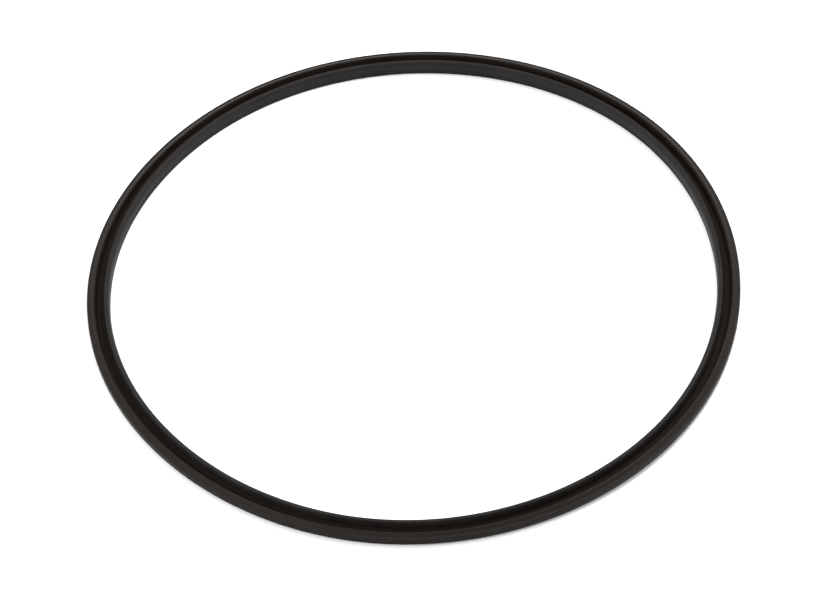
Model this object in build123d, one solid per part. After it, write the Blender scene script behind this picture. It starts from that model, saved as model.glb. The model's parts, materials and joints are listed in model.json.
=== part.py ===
from build123d import *
import os

# Sealing ring of a 22 cm pressure cooker: one moulding of black rubber, the same all the way
# round. It is drawn as its cross-section and turned about Z. It lies flat, groove up, on z = 0,
# with the centre of the ring at the origin. All sizes are in millimetres.

# Sizes across the ring
INNER_DIAMETER = 220.0    # clear opening, the size by which such rings are named
RING_WIDTH = 8.3          # inner wall to outer wall
SHOULDER_SET_BACK = 0.5   # how far the top of the inner wall leans outwards, over the shoulder
INNER_LIP_CREST = 1.9     # inner wall to the groove's inner edge
GROOVE_MOUTH = 3.65       # groove width between the two lips
GROOVE_INNER_DRAFT = 0.45 # how far the groove's inner wall leans in on its way down
GROOVE_OUTER_DRAFT = 0.9  # the same for its outer wall
LEDGE_WIDTH = 0.9         # flat step outside the outer lip
BASE_BEVEL_WIDTH = 1.0    # how far the underside is set in from the outer wall

# Heights above the underside, each where two faces would meet if their corner had no rounding
SHOULDER_FOOT_HEIGHT = 4.2
SHOULDER_TOP_HEIGHT = 5.45
INNER_LIP_HEIGHT = 5.7
OUTER_LIP_HEIGHT = 4.9
LEDGE_HEIGHT = 3.85
GROOVE_FLOOR_HEIGHT = 1.8
BASE_BEVEL_HEIGHT = 1.5

# Roundings of the cross-section's corners
BASE_EDGE_ROUND = 0.4
SHOULDER_ROUND = 0.9
INNER_LIP_ROUND = 0.35
OUTER_LIP_ROUND = 0.5
GROOVE_FLOOR_ROUND = 1.2
LEDGE_FOOT_ROUND = 0.6
LEDGE_EDGE_ROUND = 0.3
BEVEL_ROUND = 0.4

INNER_RADIUS = INNER_DIAMETER / 2


def section_corners():
    """The cross-section's corners, from the inner wall's foot up and round to the underside.

    Each row is: distance outwards from the inner wall, height, and the rounding of that corner.
    """
    groove_outer = INNER_LIP_CREST + GROOVE_MOUTH
    return [
        (0.0, 0.0, BASE_EDGE_ROUND),
        (0.0, SHOULDER_FOOT_HEIGHT, SHOULDER_ROUND),
        (SHOULDER_SET_BACK, SHOULDER_TOP_HEIGHT, SHOULDER_ROUND),
        (INNER_LIP_CREST, INNER_LIP_HEIGHT, INNER_LIP_ROUND),
        (INNER_LIP_CREST + GROOVE_INNER_DRAFT, GROOVE_FLOOR_HEIGHT, GROOVE_FLOOR_ROUND),
        (groove_outer - GROOVE_OUTER_DRAFT, GROOVE_FLOOR_HEIGHT, GROOVE_FLOOR_ROUND),
        (groove_outer, OUTER_LIP_HEIGHT, OUTER_LIP_ROUND),
        (RING_WIDTH - LEDGE_WIDTH, LEDGE_HEIGHT, LEDGE_FOOT_ROUND),
        (RING_WIDTH, LEDGE_HEIGHT, LEDGE_EDGE_ROUND),
        (RING_WIDTH, BASE_BEVEL_HEIGHT, BEVEL_ROUND),
        (RING_WIDTH - BASE_BEVEL_WIDTH, 0.0, BEVEL_ROUND),
    ]


def section():
    """The cross-section as a flat face in the XZ plane, at its real distance from the axis."""
    corners = section_corners()
    points = [(INNER_RADIUS + out, 0.0, up) for out, up, _ in corners]
    rounds = [corner_round for _, _, corner_round in corners]
    return make_face(FilletPolyline(*points, radius=rounds, close=True))


def sealing_ring():
    """The whole moulding: the cross-section turned once about Z."""
    return revolve(section(), Axis.Z, 360)


os.makedirs("parts", exist_ok=True)
export_step(sealing_ring(), "parts/sealing_ring.step")
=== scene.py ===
# %% [markdown]
# # A pressure cooker's sealing ring
#
# A rubber ring lies in the lid of a pressure cooker and closes the gap between the lid and the pot.
# It is one moulding: the same small cross-section all the way round, with two soft lips and a groove
# between them. Steam gets into the groove and spreads the lips, so the ring seals harder as the
# pressure rises. This lesson builds the ring as one surface of numbers, and gives it a finish of
# moulded black rubber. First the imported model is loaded, because it fixes every size and place.

# %% Load the fixed model
import json
import math

import bpy
import numpy as np
from mathutils import Matrix, Vector


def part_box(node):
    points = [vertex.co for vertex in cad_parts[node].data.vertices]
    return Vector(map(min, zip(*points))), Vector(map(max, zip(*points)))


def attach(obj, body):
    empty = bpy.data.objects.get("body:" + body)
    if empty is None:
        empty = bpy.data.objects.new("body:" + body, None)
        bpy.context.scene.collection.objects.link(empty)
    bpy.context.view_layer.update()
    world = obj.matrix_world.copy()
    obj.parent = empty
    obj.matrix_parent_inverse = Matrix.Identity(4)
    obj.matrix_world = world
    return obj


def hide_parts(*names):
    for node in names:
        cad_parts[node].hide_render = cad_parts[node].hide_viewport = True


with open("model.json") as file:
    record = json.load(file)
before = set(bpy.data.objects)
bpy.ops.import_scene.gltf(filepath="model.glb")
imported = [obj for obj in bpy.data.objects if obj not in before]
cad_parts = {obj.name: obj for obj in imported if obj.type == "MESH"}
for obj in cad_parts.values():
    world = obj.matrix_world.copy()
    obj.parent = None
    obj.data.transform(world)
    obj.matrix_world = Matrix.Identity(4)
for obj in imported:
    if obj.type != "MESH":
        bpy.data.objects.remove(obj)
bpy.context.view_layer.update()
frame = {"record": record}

MM = 0.001
mounts = {mount["name"]: mount for mount in frame["record"]["mounts"]}
INNER_RADIUS = mounts["pot_opening"]["dims"]["r_mm"] * MM
OUTER_RADIUS = mounts["lid_channel"]["dims"]["r_mm"] * MM
RING_WIDTH = OUTER_RADIUS - INNER_RADIUS
RING_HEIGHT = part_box("sealing_ring")[1].z
across, wide, high = (size / MM for size in (2 * OUTER_RADIUS, RING_WIDTH, RING_HEIGHT))
print(f"ring {across:.1f} mm across, {wide:.1f} wide, {high:.2f} high")

# %% [markdown]
# ## The camera
#
# A small, flat thing is best shown from well back with a long lens, looking down at it from about 48
# degrees: the far side of the ring is then hardly smaller than the near side. The camera is
# placed by its distance and its height angle, not by hand, so both can be read and changed. It leans
# over by a few degrees, because the ring does not sit quite level in the frame.

# %% Place the camera
CAMERA_ELEVATION = math.radians(48.4)
CAMERA_LEAN = math.radians(3.25)
CAMERA_DISTANCE = 13.5 * OUTER_RADIUS
CAMERA_LENS = 191.4                        # millimetres, on a 36 mm sensor
AIM_BELOW = 0.0256 * OUTER_RADIUS          # the ring sits a little above the middle of the frame
AIM_LEFT = 0.0034 * OUTER_RADIUS

toward_camera = Vector((0, -math.cos(CAMERA_ELEVATION), math.sin(CAMERA_ELEVATION)))
picture_up = Vector((0, math.sin(CAMERA_ELEVATION), math.cos(CAMERA_ELEVATION)))
upright = toward_camera.to_track_quat("Z", "Y").to_matrix().to_4x4()
camera_data = bpy.data.cameras.new("camera")
camera_data.lens = CAMERA_LENS
camera = bpy.data.objects.new("camera", camera_data)
camera.rotation_euler = (upright @ Matrix.Rotation(-CAMERA_LEAN, 4, "Z")).to_euler()
camera.location = toward_camera * CAMERA_DISTANCE - picture_up * AIM_BELOW - Vector((AIM_LEFT, 0, 0))
bpy.context.scene.collection.objects.link(camera)
bpy.context.scene.camera = camera
print("camera at", [round(x, 3) for x in camera.location])

# %% [markdown]
# ## Floor and light
#
# Black rubber shows almost nothing of its own colour: what the eye reads is the light that slides off
# its rounded edges. So the room is a plain one: a pale floor, and a sky that is dimmer on the camera's
# side. Two long strips of light stand low at the sides, and two square lamps stand higher, one at the
# front left and one at the back right. Lamps this wide give broad, weak streaks along the lips, where
# small ones would give hard sparks. The light is strong enough to take the floor past white, so that
# the faint shade beside a thin ring fades out. The rubber's colours and its gloss are set low to suit
# that light. In a dimmer room they would have to be raised.

# %% Build the floor and the lamps
FLOOR_SIZE = 40.0
FLOOR_GREY = 0.9
LAMP_DISTANCE = 1.2
SKY_STRENGTH, SKY_SHADE = 1.80, 0.50      # all round, and the share of it left on the dim side
SKY_FALL_FROM = 0.2                       # cosine at which the sky starts to dim


def pale_floor():
    """A flat square in the plane that the ring's underside rests on."""
    half = FLOOR_SIZE / 2
    corners = [(-half, -half, 0), (half, -half, 0), (half, half, 0), (-half, half, 0)]
    material = bpy.data.materials.new("pale_floor")
    material.use_nodes = True
    shader = material.node_tree.nodes["Principled BSDF"]
    shader.inputs["Base Color"].default_value = (FLOOR_GREY, FLOOR_GREY, FLOOR_GREY, 1)
    shader.inputs["Roughness"].default_value = 1.0
    shader.inputs["Specular IOR Level"].default_value = 0.0
    mesh = bpy.data.meshes.new("floor")
    mesh.from_pydata(corners, [], [(0, 1, 2, 3)])
    mesh.materials.append(material)
    floor = bpy.data.objects.new("floor", mesh)
    bpy.context.scene.collection.objects.link(floor)


def direction(azimuth, elevation):
    """The unit arrow at two angles in degrees: azimuth turns from +X to +Y, elevation rises from flat."""
    a, e = math.radians(azimuth), math.radians(elevation)
    return Vector((math.cos(a) * math.cos(e), math.sin(a) * math.cos(e), math.sin(e)))


def soft_lamp(name, azimuth, elevation, width, height, power):
    """A rectangle of light that faces the ring's centre."""
    place = direction(azimuth, elevation) * LAMP_DISTANCE
    lamp = bpy.data.lights.new(name, "AREA")
    lamp.shape = "RECTANGLE"
    lamp.size, lamp.size_y = width, height
    lamp.energy = power
    holder = bpy.data.objects.new(name, lamp)
    holder.location = place
    holder.rotation_euler = place.to_track_quat("Z", "Y").to_euler()
    holder.visible_camera = False
    bpy.context.scene.collection.objects.link(holder)


def graded_sky(strength, shade, azimuth, elevation):
    """White from every side, and weaker around one direction, where the room is dim.

    The strength falls evenly with the cosine of the angle from that direction, down to strength times
    shade at its middle.
    """
    world = bpy.data.worlds.new("sky")
    world.use_nodes = True
    nodes, links = world.node_tree.nodes, world.node_tree.links
    coordinates = nodes.new("ShaderNodeTexCoord")
    cosine = nodes.new("ShaderNodeVectorMath")
    cosine.operation = "DOT_PRODUCT"
    cosine.inputs[1].default_value = direction(azimuth, elevation)
    fall = nodes.new("ShaderNodeMapRange")
    fall.inputs["From Min"].default_value = SKY_FALL_FROM
    fall.inputs["From Max"].default_value = 1.0
    fall.inputs["To Min"].default_value = strength
    fall.inputs["To Max"].default_value = strength * shade
    links.new(coordinates.outputs["Generated"], cosine.inputs[0])
    links.new(cosine.outputs["Value"], fall.inputs["Value"])
    links.new(fall.outputs["Result"], nodes["Background"].inputs["Strength"])
    nodes["Background"].inputs["Color"].default_value = (1, 1, 1, 1)
    bpy.context.scene.world = world


pale_floor()
graded_sky(SKY_STRENGTH, SKY_SHADE, azimuth=-90, elevation=45)
soft_lamp("lamp_right", azimuth=-8, elevation=3, width=0.8, height=0.12, power=5)
soft_lamp("lamp_left", azimuth=187, elevation=3, width=0.6, height=0.12, power=2.5)
soft_lamp("lamp_front", azimuth=-145, elevation=40, width=0.30, height=0.30, power=6)
soft_lamp("lamp_top", azimuth=45, elevation=64, width=0.20, height=0.20, power=8)
bpy.context.scene.view_settings.view_transform = "Standard"

# %% [markdown]
# ## The cross-section
#
# The whole ring is this one outline. It could be drawn as a curve and spun by Blender, but as a list
# of corners with a rounding for each it can be read like a maker's drawing: inner wall, shoulder,
# inner lip, groove, outer lip, ledge, outer wall, bevel. Each corner is then swapped for the arc that
# just touches its two sides, which is how a mould cutter leaves it.

# %% List the corners
LIP_CREST = 1.9 * MM         # inner wall to the inner lip's crest
GROOVE_MOUTH = 3.65 * MM
INNER_DRAFT, OUTER_DRAFT = 0.45 * MM, 0.9 * MM   # lean of the groove's walls
LEDGE_WIDTH = 0.9 * MM
BEVEL_WIDTH, BEVEL_HEIGHT = 1.0 * MM, 1.5 * MM
SHOULDER_FOOT, SHOULDER_TOP, SHOULDER_SET_BACK = 4.2 * MM, 5.45 * MM, 0.5 * MM
INNER_LIP_HEIGHT, OUTER_LIP_HEIGHT = 5.7 * MM, 4.9 * MM
LEDGE_HEIGHT, GROOVE_FLOOR = 3.85 * MM, 1.8 * MM

groove_outer = LIP_CREST + GROOVE_MOUTH
# each row: distance outwards from the inner wall, height, rounding
SECTION = np.array([
    (0, 0, 0.4 * MM),
    (0, SHOULDER_FOOT, 0.9 * MM),
    (SHOULDER_SET_BACK, SHOULDER_TOP, 0.9 * MM),
    (LIP_CREST, INNER_LIP_HEIGHT, 0.35 * MM),
    (LIP_CREST + INNER_DRAFT, GROOVE_FLOOR, 1.2 * MM),
    (groove_outer - OUTER_DRAFT, GROOVE_FLOOR, 1.2 * MM),
    (groove_outer, OUTER_LIP_HEIGHT, 0.5 * MM),
    (RING_WIDTH - LEDGE_WIDTH, LEDGE_HEIGHT, 0.6 * MM),
    (RING_WIDTH, LEDGE_HEIGHT, 0.3 * MM),
    (RING_WIDTH, BEVEL_HEIGHT, 0.4 * MM),
    (RING_WIDTH - BEVEL_WIDTH, 0, 0.4 * MM),
])
print(len(SECTION), "corners in the cross-section")

# %% Round them
ARC_POINTS = 24


def rounded_outline(section):
    """The closed outline with an arc at each corner, from the inner wall's foot up and over.

    At a corner that turns by t, an arc of radius r starts r * tan(t / 2) before it. A point swept
    by angle a along it lies r * sin(a) ahead and r * (1 - cos(a)) to the side that the line turns.
    """
    here, rounding = section[:, :2], section[:, 2, None]
    into = here - np.roll(here, 1, axis=0)
    into /= np.linalg.norm(into, axis=1)[:, None]
    out = np.roll(into, -1, axis=0)
    turn = np.arctan2(into[:, 0] * out[:, 1] - into[:, 1] * out[:, 0], (into * out).sum(1))[:, None]
    start = here - into * rounding * np.tan(abs(turn) / 2)
    side = np.sign(turn) * np.stack([-into[:, 1], into[:, 0]], 1)
    swept = abs(turn) * np.linspace(0, 1, ARC_POINTS)
    ahead, aside = np.sin(swept)[..., None], (1 - np.cos(swept))[..., None]
    arcs = start[:, None] + rounding[..., None] * (ahead * into[:, None] + aside * side[:, None])
    return arcs.reshape(-1, 2)


# %% [markdown]
# The outline is now arcs joined by straight runs, with most of its points where it bends. The mesh
# wants a fixed number of points, close together in the bends and along the two parting lines, where
# the halves of the mould met and left a thin ridge. So the points are spread again: each short step
# along the outline is given a weight, and the points divide the total weight evenly.

# %% Spread the points
SECTION_POINTS = 128
FINE_STEP = 0.01 * MM
PARTING_WIDTH = 0.07 * MM
PARTING_HEIGHT = 0.06 * MM
INNER_PARTING = 0.9 * MM     # height of the parting line on the inner wall
BEND_REACH = 20              # steps looked ahead and back to find a bend
BEND_WEIGHT, SHARPEST = 2.2, 2
PARTING_WEIGHT = 4


def walked(outline, step):
    """The closed outline at even steps of length: positions, and the distance walked to each."""
    loop = np.vstack([outline, outline[:1]])
    gone = np.concatenate([[0], np.cumsum(np.linalg.norm(np.diff(loop, axis=0), axis=1))])
    at = np.linspace(0, gone[-1], round(gone[-1] / step), endpoint=False)
    return np.stack([np.interp(at, gone, loop[:, 0]), np.interp(at, gone, loop[:, 1])], 1), at


def bend_of(fine, step):
    """How sharply the outline turns, in radians per metre: above 0 on edges, below 0 in hollows."""
    heading = np.unwrap(np.arctan2(*(np.roll(fine, -1, 0) - np.roll(fine, 1, 0)).T[::-1]))
    turned = np.angle(np.exp(1j * (np.roll(heading, -BEND_REACH) - np.roll(heading, BEND_REACH))))
    return -turned / (2 * BEND_REACH * step)


def gathered(weight, count):
    """Indices that divide the running total of weight into equal shares."""
    total = np.concatenate([[0], np.cumsum(weight)])
    return np.interp(np.arange(count) / count * total[-1], total, np.arange(len(total)))


fine, walked_to = walked(rounded_outline(SECTION), FINE_STEP)
bend = bend_of(fine, FINE_STEP)


def nearest_walk(out, up):
    """The distance walked to the outline's point nearest to a given place."""
    return walked_to[np.argmin(np.hypot(fine[:, 0] - out, fine[:, 1] - up))]


outer_parting = (LEDGE_HEIGHT + BEVEL_HEIGHT) / 2
parting_at = [nearest_walk(0, INNER_PARTING), nearest_walk(RING_WIDTH, outer_parting)]
parting = sum(np.exp(-((walked_to - at) / PARTING_WIDTH) ** 2) for at in parting_at)
weight = 1 + BEND_WEIGHT * np.clip(abs(bend) * MM, 0, SHARPEST) + PARTING_WEIGHT * parting
pick = gathered(weight, SECTION_POINTS)
print(f"outline {walked_to[-1] / MM:.1f} mm long, {SECTION_POINTS} points kept")

# %% [markdown]
# ## Carried round the ring
#
# The surface is a function of two parameters: the angle round the ring and the place along the
# outline. Worked out on a grid it gives every vertex at once. A real ring is not a perfect circle:
# it has lain in a lid and in a drawer, so it is out of round by a few tenths of a millimetre. That is
# added as slow waves of the angle, which leave the cross-section itself as it is. The lips are thin,
# so they waver a little more than the body, and the parting ridge comes and goes as it was trimmed.

# %% The surface as a function of angle and outline
STEPS_ROUND = 760
OUT_OF_ROUND = 0.40 * MM
THREE_LOBES_AT, FIVE_LOBES_AT, FIVE_LOBES_SHARE = -2.53, 2.75, 0.42
LIP_WAVER = 0.05 * MM
LIP_LOBES, LIP_SEED = (4, 7, 11, 16), 5
TRIM_LOBES, TRIM_SEED = range(9, 60, 5), 3
TRIM_MEAN, TRIM_SWING, TRIM_LEAST = 0.6, 0.5, 0.1    # share of the ridge that is left after trimming
angle = np.linspace(0, 2 * math.pi, STEPS_ROUND, endpoint=False)


def resampled(values):
    """Values on the fine outline, read at the points that were picked."""
    return np.interp(pick, np.arange(len(values)), values)


def slow_waves(angle, lobes, seed):
    """A sum of cosines of the angle with random phases, between about -1 and 1, closed on itself."""
    phase = np.random.default_rng(seed).uniform(0, 2 * math.pi, len(lobes))
    return np.cos(np.outer(angle, lobes) + phase).sum(1) / math.sqrt(2 * len(lobes))


def out_of_round(angle):
    """How far the ring leans out of its circle: a three-lobed wave and a weaker five-lobed one."""
    three = np.cos(3 * angle + THREE_LOBES_AT)
    return OUT_OF_ROUND * (three + FIVE_LOBES_SHARE * np.cos(5 * angle + FIVE_LOBES_AT))


def ring_surface(angle, out, up, facing):
    """x, y, z on a grid. Radius is inner radius + outline distance + out-of-round wave + ridge;
    height is outline height + ridge + lip waver, which grows from nothing at half the height."""
    trim = TRIM_MEAN + TRIM_SWING * slow_waves(angle, TRIM_LOBES, TRIM_SEED)
    trim = np.clip(trim, TRIM_LEAST, 1)[:, None]
    ridge = PARTING_HEIGHT * trim * resampled(parting)
    lip = np.clip(up / RING_HEIGHT * 2 - 1, 0, 1)
    waver = LIP_WAVER * slow_waves(angle, LIP_LOBES, LIP_SEED)[:, None] * lip
    radius = INNER_RADIUS + out + out_of_round(angle)[:, None] + ridge * facing[:, 0]
    height = np.clip(up + ridge * facing[:, 1] + waver, 0, None)
    return np.stack([radius * np.cos(angle)[:, None], radius * np.sin(angle)[:, None], height], -1)


along = np.roll(fine, -1, 0) - np.roll(fine, 1, 0)
normal = np.stack([-along[:, 1], along[:, 0]], 1) / np.linalg.norm(along, axis=1)[:, None]
facing = np.stack([resampled(normal[:, 0]), resampled(normal[:, 1])], 1)
points = ring_surface(angle, resampled(fine[:, 0]), resampled(fine[:, 1]), facing)
print("surface grid", points.shape[:2], "highest point %.2f mm" % (points[..., 2].max() / MM))

# %% Turn the grid into a mesh


def closed_grid_mesh(name, points):
    """Quads between neighbours of the grid; both directions close on themselves, so no edge is open."""
    across, along = points.shape[:2]
    index = np.arange(across * along).reshape(across, along)
    ahead, up = np.roll(index, -1, axis=0), np.roll(index, -1, axis=1)
    quads = np.stack([index, ahead, np.roll(ahead, -1, axis=1), up], -1).reshape(-1, 4)
    mesh = bpy.data.meshes.new(name)
    mesh.from_pydata(points.reshape(-1, 3), [], quads)
    mesh.shade_smooth()
    return mesh


ring_mesh = closed_grid_mesh("sealing_ring_rubber", points)
ring = bpy.data.objects.new("sealing_ring_rubber", ring_mesh)
bpy.context.scene.collection.objects.link(ring)
lowest = min(ring_mesh.polygons, key=lambda face: face.center.z)
print(len(ring_mesh.polygons), "quads; the underside faces", [round(x, 2) for x in lowest.normal])

# %% [markdown]
# ## Numbers that the finish needs
#
# The finish changes with the shape: the outer lip's edge is made a little shinier, as if rubbed, the
# bottom of the groove is dull, and so is the trimmed parting line. The shape is known here, so the mesh
# carries five numbers at each of its points: the film that blooms there, the polish of the outer lip,
# the depth in the groove, how sharply the outline bends, and how much of the parting line is in it. The
# material could guess them from the mesh, but only roughly. The amounts of film were set round after
# round and for these lamps, until the bands of light and dark along the section came out right.
# They are not measured from real rubber.
# The film's amount along the section paints light and shade into the colour: more film, so paler, where
# the surface faces up and is open to the sky, on the inner wall and on the shoulder; less, so darker,
# near the foot, on the outer wall and low in the groove.

# %% Write five numbers on the mesh
OUTLINE_SKIP = 8             # every eighth point is enough to find a horizon
ASIDE = 0.02 * MM            # points nearer than this, sideways, hide nothing
# painted light and shade on the walls: much film, so pale, at the inner wall, and hardly any, so dark, at
# the outer wall
WALL_LIGHT_AND_SHADE = (0.9, 0.05)      # on upright walls, at the inner wall and at the outer wall
# painted sky light: up-facing surfaces open to the sky take more film and come out paler
SKY_LIT_RANGE = (0.35, 0.95)
FACING_GAIN, FACING_BASE = 1.5, 0.4      # how facing up counts towards being exposed
# painted shade: less film, so darker, towards the foot, up to this height
FOOT_PAINTED_SHADE, FOOT_SHADE_HEIGHT = 0.6, 2.6 * MM
# painted shade and light in the groove: little film, so dark, at the bottom, and more than elsewhere, so
# pale, high on its walls
GROOVE_PAINTED_SHADE, GROOVE_SHADE_HEIGHTS = (0.3, 1.6), (1.9 * MM, 3.4 * MM)
DEEP_HEIGHTS = (1.9 * MM, 2.9 * MM)
POLISH_WIDTH = 0.7 * MM
# painted light on the shoulder, as extra film in two bells: how much, then where (out, up) and how wide
SHOULDER_PAINTED_LIGHT = ((0.25, 1.1 * MM, 5.6 * MM, 0.8 * MM), (0.5, 0.05 * MM, 4.1 * MM, 0.5 * MM))


def write_along_outline(mesh, name, values):
    """The same row of values, one for each point of the outline, at every step round the ring."""
    attribute = mesh.attributes.new(name, "FLOAT", "POINT")
    attribute.data.foreach_set("value", np.tile(values, STEPS_ROUND).astype(np.float32))


def open_sky(fine):
    """How much of the sky each point of the outline sees: the mean cosine of the two horizons.

    A horizon is the steepest line from the point to any other point of the outline on that side.
    """
    few = fine[::OUTLINE_SKIP]
    out = few[None, :, 0] - fine[:, None, 0]
    up = few[None, :, 1] - fine[:, None, 1]
    steep = np.arctan2(up, abs(out))
    outer = np.where(out > ASIDE, steep, 0).max(1)
    inner = np.where(out < -ASIDE, steep, 0).max(1)
    return (np.cos(np.clip(outer, 0, None)) + np.cos(np.clip(inner, 0, None))) / 2


def near(out, up, width):
    """A bell along the outline: 1 at the point nearest to a place, and close to 0 two widths away."""
    return np.exp(-((walked_to - nearest_walk(out, up)) / width) ** 2)


def bloom_and_painted_light_along(fine, normal, openness):
    """How much film each point carries; the amount paints light and shade into the colour.

    Outside the groove: a wall share that falls outwards (painted light on the inner wall, painted shade
    on the outer), filled up towards 1 where the surface faces up and is open to the sky (painted sky
    light), less so near the foot (painted shade), plus two bells of painted light on the shoulder. In
    the groove: more with height, so its bottom is painted darkest.
    """
    sky_lit_share = openness * np.clip(normal[:, 1] * FACING_GAIN + FACING_BASE, 0, 1)
    painted_foot_shade = np.interp(fine[:, 1], (0, FOOT_SHADE_HEIGHT), (FOOT_PAINTED_SHADE, 1))
    wall = np.interp(fine[:, 0], (0, RING_WIDTH), WALL_LIGHT_AND_SHADE)
    outside = wall + (1 - wall) * np.interp(sky_lit_share, SKY_LIT_RANGE, (0, 1)) * painted_foot_shade
    inside = np.interp(fine[:, 1], GROOVE_SHADE_HEIGHTS, GROOVE_PAINTED_SHADE)
    shoulder = sum(amount * near(out, up, width) for amount, out, up, width in SHOULDER_PAINTED_LIGHT)
    return np.where(inside_groove, inside, outside + shoulder)


inside_groove = (fine[:, 0] > LIP_CREST) & (fine[:, 0] < groove_outer)
openness = open_sky(fine)
deep = inside_groove * np.interp(fine[:, 1], DEEP_HEIGHTS, (1, 0))
polish = near(groove_outer, OUTER_LIP_HEIGHT, POLISH_WIDTH)
write_along_outline(ring_mesh, "deep", resampled(deep))
write_along_outline(ring_mesh, "bloom_and_painted_light", resampled(bloom_and_painted_light_along(fine, normal, openness)))
write_along_outline(ring_mesh, "polish", resampled(polish))
write_along_outline(ring_mesh, "bend", resampled(bend) * MM)
write_along_outline(ring_mesh, "parting", resampled(parting))
print("bend from %.2f to %.2f per mm" % (bend.min() * MM, bend.max() * MM))

# %% [markdown]
# ## Black rubber
#
# Soot makes the rubber black all through, so almost nothing comes back from below the skin, and its
# look is that of the skin: a copy of the steel mould. A lathe cut the mould, so the finest marks run
# round the ring. Small helpers keep the recipe readable: they add a node and wire its inputs, stretch,
# multiply or add up values, and make two kinds of noise. The marks need a pattern that is long round
# the ring and short across it, and meets itself after a full turn. A noise of four numbers does it: the
# direction from the axis, slowly, and the radius and the height, quickly.

# %% Helpers for the recipe


def add(tree, kind, inputs, **settings):
    """A node with its settings, and each input either joined to another node or set to a value."""
    node = tree.nodes.new("ShaderNode" + kind)
    for name, value in settings.items():
        setattr(node, name, value)
    for name, value in inputs.items():
        if isinstance(value, bpy.types.NodeSocket):
            tree.links.new(value, node.inputs[name])
        else:
            node.inputs[name].default_value = value
    return node


def spread(tree, value, low, high, to_low, to_high):
    """Carries the range low..high to to_low..to_high, and stops at both ends."""
    ends = {"Value": value, "From Min": low, "From Max": high, "To Min": to_low, "To Max": to_high}
    return add(tree, "MapRange", ends).outputs["Result"]


def product(tree, a, b):
    """One value times another."""
    return add(tree, "Math", {0: a, 1: b}, operation="MULTIPLY").outputs[0]


def total(tree, *values):
    """The sum of any number of values."""
    running = values[0]
    for value in values[1:]:
        running = add(tree, "Math", {0: running, 1: value}, operation="ADD").outputs[0]
    return running


def grain(tree, place, size, detail=2.0):
    """Even-sided noise whose blobs are about one size across, in metres."""
    inputs = {"Vector": place, "Scale": 1 / size, "Detail": detail, "Roughness": 0.55}
    return add(tree, "TexNoise", inputs, noise_dimensions="3D").outputs["Fac"]


def round_the_ring(tree, place, length, width, detail=2.0):
    """Noise drawn out round the ring: blobs of one length along it and one width across, in metres."""
    flat = add(tree, "VectorMath", {0: place, 1: (1, 1, 0)}, operation="MULTIPLY").outputs["Vector"]
    radius = add(tree, "VectorMath", {0: flat}, operation="LENGTH").outputs["Value"]
    ahead = add(tree, "VectorMath", {0: flat}, operation="NORMALIZE").outputs["Vector"]
    turn = add(tree, "VectorMath", {0: ahead, "Scale": INNER_RADIUS / length}, operation="SCALE")
    up = add(tree, "VectorMath", {0: place, 1: (0, 0, 1 / width)}, operation="MULTIPLY")
    whole = add(tree, "VectorMath", {0: turn.outputs[0], 1: up.outputs[0]}, operation="ADD")
    inputs = {"Vector": whole.outputs[0], "W": product(tree, radius, 1 / width), "Scale": 1.0,
              "Detail": detail, "Roughness": 0.5}
    return add(tree, "TexNoise", inputs, noise_dimensions="4D").outputs["Fac"]


# %% [markdown]
# The recipe has four parts. The colour goes from a cold black inside to a brown black outside. A paler
# film blooms on it in patches, as wax does on old rubber, and brown dust lies deep in the groove. The
# roughness follows the film, the turning marks, the polished lip and the groove's bottom. The relief is
# three small heights added together: mould grain, turning marks and a slow unevenness of the skin. A
# few specks of lint lie on it all. These colours are far darker than real rubber's, and the gloss is
# far weaker. They were set under this strong light, and a softer light needs higher ones.
# How much film each band of the section gets also paints light and shade: paler where it faces up and is
# open, on the inner wall and on the shoulder, darker near the foot, on the outer wall and low in the
# groove.

# %% Make the rubber
# colours from the inner wall outwards: the body, the film that blooms on it and carries painted light and
# shade, dust in the hollows, lint
COOL_BLACK, WARM_BLACK = (0.0022, 0.0022, 0.0022, 1), (0.0032, 0.0022, 0.0016, 1)
COOL_FILM_AND_PAINTED_LIGHT, WARM_FILM_AND_PAINTED_LIGHT = (0.0140, 0.0126, 0.0113, 1), (0.0125, 0.0090, 0.0069, 1)
DUST_BROWN = (0.0080, 0.0060, 0.0046, 1)
LINT_GREY = (0.20, 0.19, 0.18, 1)
SHINE = 0.42                 # roughness of clean moulded skin
REFRACTION, GLOSS = 1.5, 0.095
MARK_LENGTH, MARK_WIDTH = 22 * MM, 0.35 * MM
GRAIN_SIZE, PATCH_SIZE, SKIN_SIZE = 0.7 * MM, 14 * MM, 6 * MM
GRAIN_RELIEF, TURNING_RELIEF, SKIN_RELIEF = 0.010 * MM, 0.006 * MM, 0.05 * MM
TURN_FROM, TURN_TO = 0.5 * MM, 5 * MM    # from the inner wall: where cold black becomes brown black
# a noise hovers about its middle, so each is stretched: the range it has, then the range wanted
PATCH_TO_FILM = (0.35, 0.70, 0.45, 0.75)
GRAIN_TO_FILM = (0.35, 0.65, 0.65, 1.2)
MARKS_TO_ROUGHNESS = (0.3, 0.7, -0.05, 0.07)
BEND_TO_EDGE = (0.3, 1.6, 0.0, 1.0)
SPECK_SPACING, SPECK_SPREAD = 2.6 * MM, 9 * MM
SPECK_SIZE, SPECK_RARITY = (0.03, 0.06, 1.0, 0.0), (0.60, 0.66, 0.0, 1.0)
# what each adds to the roughness, or to the film
FILM_DULLS, EDGE_SHINES, POLISH_SHINES, DEPTH_DULLS, PARTING_DULLS = 0.18, -0.03, -0.16, 0.35, 0.15
PARTING_FILM = 0.12


def written(tree, name):
    """A number that the mesh carries at each of its points."""
    return add(tree, "Attribute", {}, attribute_name=name).outputs["Fac"]


def mixed(tree, amount, first, second):
    """The first colour where the amount is 0, the second where it is 1."""
    return add(tree, "MixRGB", {"Fac": amount, "Color1": first, "Color2": second}).outputs[0]


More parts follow.
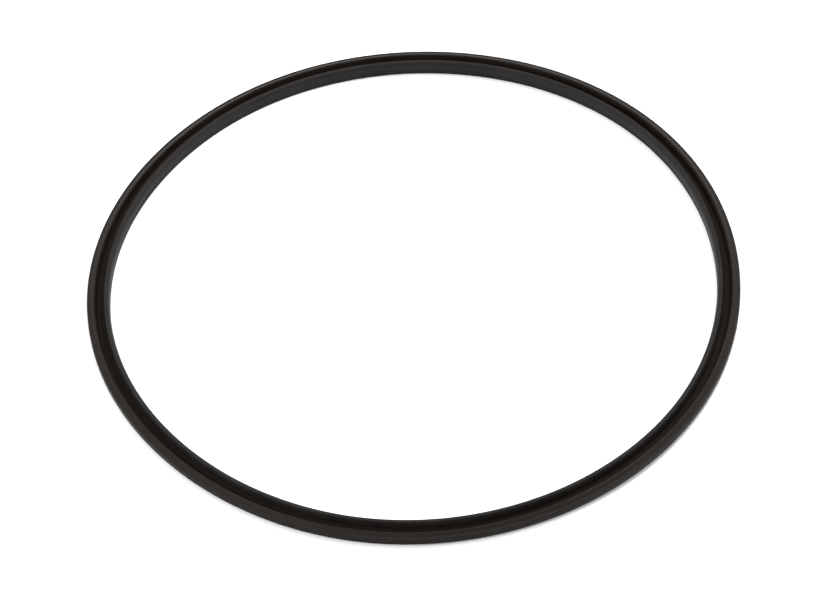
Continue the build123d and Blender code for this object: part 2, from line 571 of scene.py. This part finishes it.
def rubber_colour(tree, place, film_and_painted_light, dust):
    """Cold black to brown black with the radius, the film with its painted light and shade and the dust
    over it, then lint.
    """
    flat = add(tree, "VectorMath", {0: place, 1: (1, 1, 0)}, operation="MULTIPLY").outputs["Vector"]
    radius = add(tree, "VectorMath", {0: flat}, operation="LENGTH").outputs["Value"]
    outwards = spread(tree, radius, INNER_RADIUS + TURN_FROM, INNER_RADIUS + TURN_TO, 0.0, 1.0)
    body = mixed(tree, outwards, COOL_BLACK, WARM_BLACK)
    with_film_and_painted_light = mixed(tree, film_and_painted_light, body, mixed(tree, outwards, COOL_FILM_AND_PAINTED_LIGHT, WARM_FILM_AND_PAINTED_LIGHT))
    dusty = mixed(tree, dust, with_film_and_painted_light, DUST_BROWN)
    speck = add(tree, "TexVoronoi", {"Vector": place, "Scale": 1 / SPECK_SPACING, "Randomness": 1.0})
    small = spread(tree, speck.outputs["Distance"], *SPECK_SIZE)
    rare = spread(tree, grain(tree, place, SPECK_SPREAD), *SPECK_RARITY)
    return mixed(tree, product(tree, small, rare), dusty, LINT_GREY)


def black_rubber():
    """Moulded black rubber, from the object's own coordinates and the five numbers on its mesh."""
    material = bpy.data.materials.new("black_rubber")
    material.use_nodes = True
    tree = material.node_tree
    shader = tree.nodes["Principled BSDF"]
    shader.inputs["IOR"].default_value = REFRACTION
    shader.inputs["Specular IOR Level"].default_value = GLOSS
    place = add(tree, "TexCoord", {}).outputs["Object"]
    parting, deep = written(tree, "parting"), written(tree, "deep")

    turning = round_the_ring(tree, place, MARK_LENGTH, MARK_WIDTH, detail=3.0)
    mould_grain = grain(tree, place, GRAIN_SIZE, detail=3.0)
    patches = spread(tree, grain(tree, place, PATCH_SIZE, detail=4.0), *PATCH_TO_FILM)
    patchy = product(tree, patches, spread(tree, mould_grain, *GRAIN_TO_FILM))
    # the film: its patches are the rubber's own, and its amount from the mesh paints light and shade
    film_and_painted_light = product(tree, patchy, written(tree, "bloom_and_painted_light"))
    edge = spread(tree, written(tree, "bend"), *BEND_TO_EDGE)

    whole_film_and_painted_light = total(tree, film_and_painted_light, product(tree, parting, PARTING_FILM))
    tree.links.new(rubber_colour(tree, place, whole_film_and_painted_light, deep), shader.inputs["Base Color"])
    marks = total(tree, spread(tree, turning, *MARKS_TO_ROUGHNESS),
                  spread(tree, mould_grain, *MARKS_TO_ROUGHNESS))
    shinier = total(tree, product(tree, edge, EDGE_SHINES),
                    product(tree, written(tree, "polish"), POLISH_SHINES))
    duller = total(tree, product(tree, film_and_painted_light, FILM_DULLS), product(tree, deep, DEPTH_DULLS),
                   product(tree, parting, PARTING_DULLS))
    tree.links.new(total(tree, SHINE, marks, shinier, duller), shader.inputs["Roughness"])

    height = total(tree, product(tree, mould_grain, GRAIN_RELIEF), product(tree, turning, TURNING_RELIEF),
                   product(tree, grain(tree, place, SKIN_SIZE), SKIN_RELIEF))
    relief = add(tree, "Bump", {"Height": height, "Distance": 1.0, "Strength": 1.0})
    tree.links.new(relief.outputs["Normal"], shader.inputs["Normal"])
    return material


rubber = black_rubber()
ring_mesh.materials.append(rubber)
print("rubber made of", len(rubber.node_tree.nodes), "nodes")

# %% Say what the ring stands for
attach(ring, "root")
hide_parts("sealing_ring")

# %% Bring the scene up to date
bpy.context.view_layer.update()
